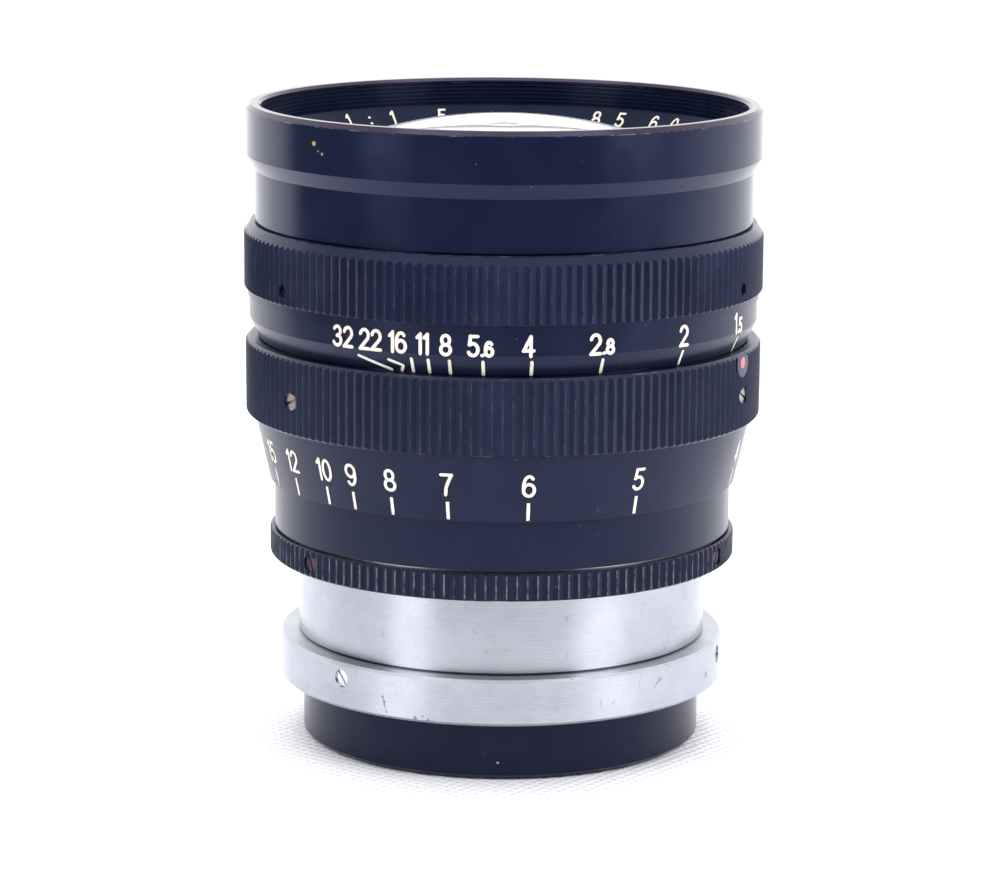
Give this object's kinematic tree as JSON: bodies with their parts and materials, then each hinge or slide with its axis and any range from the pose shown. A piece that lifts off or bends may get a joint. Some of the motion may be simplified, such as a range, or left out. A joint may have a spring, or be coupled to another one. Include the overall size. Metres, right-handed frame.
{
  "type": "camera lens",
  "caption": "Fast short-telephoto camera lens on its rear cap, with a helicoid focus ring, a knurled aperture ring that drives an iris, and an external bayonet.",
  "frame": {"origin": "centre of the rear cap's flat underside, on the optical axis", "axes": "+Z along the optical axis towards the front glass, -Y towards the side that shows the aperture and distance scales"},
  "size_m": [0.0636, 0.0636, 0.0785],
  "materials": {
    "black_paint": "gloss black enamel, worn bright at the edges",
    "gloss_black": "gloss",
    "satin_barrel": "satin",
    "satin_chrome": "satin, fine scratches",
    "screw_steel": "turned",
    "brass": "machined",
    "inner_alloy": "anodised matt black",
    "blade_steel": "blued",
    "red_enamel": "gloss enamel",
    "glass": "polished, lightly coated"
  },
  "bodies": {
    "mount": {"mount_barrel": "satin_barrel", "mount_ring": "satin_chrome", "grip_ring": "black_paint", "outer_helicoid": "brass", "index_sleeve": "black_paint", "mount_ring_screws": "screw_steel", "grip_ring_screws": "screw_steel", "coupling_retainer": "black_paint"},
    "coupling": {"coupling_ring": "brass"},
    "head": {"inner_helicoid": "inner_alloy", "guide_pins": "screw_steel", "focus_ring": "black_paint", "focus_ring_screws": "screw_steel", "index_plug": "black_paint", "index_dot": "red_enamel", "head_barrel": "black_paint", "name_ring": "black_paint", "front_spacer": "inner_alloy", "middle_cell": "inner_alloy", "middle_retainer": "black_paint", "rear_cell": "inner_alloy", "rear_retainer": "black_paint", "iris_base": "inner_alloy", "front_glass": "glass", "middle_glass_1": "glass", "middle_glass_2": "glass", "middle_glass_3": "glass", "rear_glass_1": "glass", "rear_glass_2": "glass", "rear_glass_3": "glass"},
    "aperture": {"aperture_ring": "black_paint", "iris_drum": "inner_alloy", "aperture_drive_screws": "screw_steel"},
    "cap": {"rear_cap": "gloss_black"},
    "blade_1": {"iris_blade_1": "blade_steel"},
    "blade_2": {"iris_blade_2": "blade_steel"},
    "blade_3": {"iris_blade_3": "blade_steel"},
    "blade_4": {"iris_blade_4": "blade_steel"},
    "blade_5": {"iris_blade_5": "blade_steel"},
    "blade_6": {"iris_blade_6": "blade_steel"},
    "blade_7": {"iris_blade_7": "blade_steel"},
    "blade_8": {"iris_blade_8": "blade_steel"},
    "blade_9": {"iris_blade_9": "blade_steel"},
    "blade_10": {"iris_blade_10": "blade_steel"},
    "blade_11": {"iris_blade_11": "blade_steel"},
    "blade_12": {"iris_blade_12": "blade_steel"}
  },
  "joints": [
    {"name": "focus_turn", "type": "hinge", "parent": "mount", "child": "coupling", "pos_m": [0, 0, 0.018], "axis": [0, 0, 1], "range_deg": [-224, 0]},
    {"name": "focus_extension", "type": "slide", "parent": "coupling", "child": "head", "axis": [0, 0, 1], "range_m": [0, 0.0081]},
    {"name": "aperture_turn", "type": "hinge", "parent": "head", "child": "aperture", "pos_m": [0, 0, 0.057], "axis": [0, 0, 1], "range_deg": [0, 92]},
    {"name": "rear_cap_pull", "type": "slide", "parent": "mount", "child": "cap", "axis": [0, 0, -1], "range_m": [0, 0.025]},
    {"name": "blade_1_swing", "type": "hinge", "parent": "head", "child": "blade_1", "pos_m": [0, -0.02265, 0.045], "axis": [0, 0, 1], "range_deg": [0, 46]},
    {"name": "blade_2_swing", "type": "hinge", "parent": "head", "child": "blade_2", "pos_m": [0.01132, -0.01962, 0.045], "axis": [0, 0, 1], "range_deg": [0, 46]},
    {"name": "blade_3_swing", "type": "hinge", "parent": "head", "child": "blade_3", "pos_m": [0.01962, -0.01132, 0.045], "axis": [0, 0, 1], "range_deg": [0, 46]},
    {"name": "blade_4_swing", "type": "hinge", "parent": "head", "child": "blade_4", "pos_m": [0.02265, 0, 0.045], "axis": [0, 0, 1], "range_deg": [0, 46]},
    {"name": "blade_5_swing", "type": "hinge", "parent": "head", "child": "blade_5", "pos_m": [0.01962, 0.01132, 0.045], "axis": [0, 0, 1], "range_deg": [0, 46]},
    {"name": "blade_6_swing", "type": "hinge", "parent": "head", "child": "blade_6", "pos_m": [0.01132, 0.01962, 0.045], "axis": [0, 0, 1], "range_deg": [0, 46]},
    {"name": "blade_7_swing", "type": "hinge", "parent": "head", "child": "blade_7", "pos_m": [0, 0.02265, 0.045], "axis": [0, 0, 1], "range_deg": [0, 46]},
    {"name": "blade_8_swing", "type": "hinge", "parent": "head", "child": "blade_8", "pos_m": [-0.01132, 0.01962, 0.045], "axis": [0, 0, 1], "range_deg": [0, 46]},
    {"name": "blade_9_swing", "type": "hinge", "parent": "head", "child": "blade_9", "pos_m": [-0.01962, 0.01132, 0.045], "axis": [0, 0, 1], "range_deg": [0, 46]},
    {"name": "blade_10_swing", "type": "hinge", "parent": "head", "child": "blade_10", "pos_m": [-0.02265, 0, 0.045], "axis": [0, 0, 1], "range_deg": [0, 46]},
    {"name": "blade_11_swing", "type": "hinge", "parent": "head", "child": "blade_11", "pos_m": [-0.01962, -0.01132, 0.045], "axis": [0, 0, 1], "range_deg": [0, 46]},
    {"name": "blade_12_swing", "type": "hinge", "parent": "head", "child": "blade_12", "pos_m": [-0.01132, -0.01962, 0.045], "axis": [0, 0, 1], "range_deg": [0, 46]}
  ],
  "couplings": [
    {"joint": "focus_extension", "follows": "focus_turn", "m_per_rad": -0.002069},
    {"joint": "blade_1_swing", "follows": "aperture_turn", "ratio": 0.5},
    {"joint": "blade_2_swing", "follows": "aperture_turn", "ratio": 0.5},
    {"joint": "blade_3_swing", "follows": "aperture_turn", "ratio": 0.5},
    {"joint": "blade_4_swing", "follows": "aperture_turn", "ratio": 0.5},
    {"joint": "blade_5_swing", "follows": "aperture_turn", "ratio": 0.5},
    {"joint": "blade_6_swing", "follows": "aperture_turn", "ratio": 0.5},
    {"joint": "blade_7_swing", "follows": "aperture_turn", "ratio": 0.5},
    {"joint": "blade_8_swing", "follows": "aperture_turn", "ratio": 0.5},
    {"joint": "blade_9_swing", "follows": "aperture_turn", "ratio": 0.5},
    {"joint": "blade_10_swing", "follows": "aperture_turn", "ratio": 0.5},
    {"joint": "blade_11_swing", "follows": "aperture_turn", "ratio": 0.5},
    {"joint": "blade_12_swing", "follows": "aperture_turn", "ratio": 0.5}
  ]
}
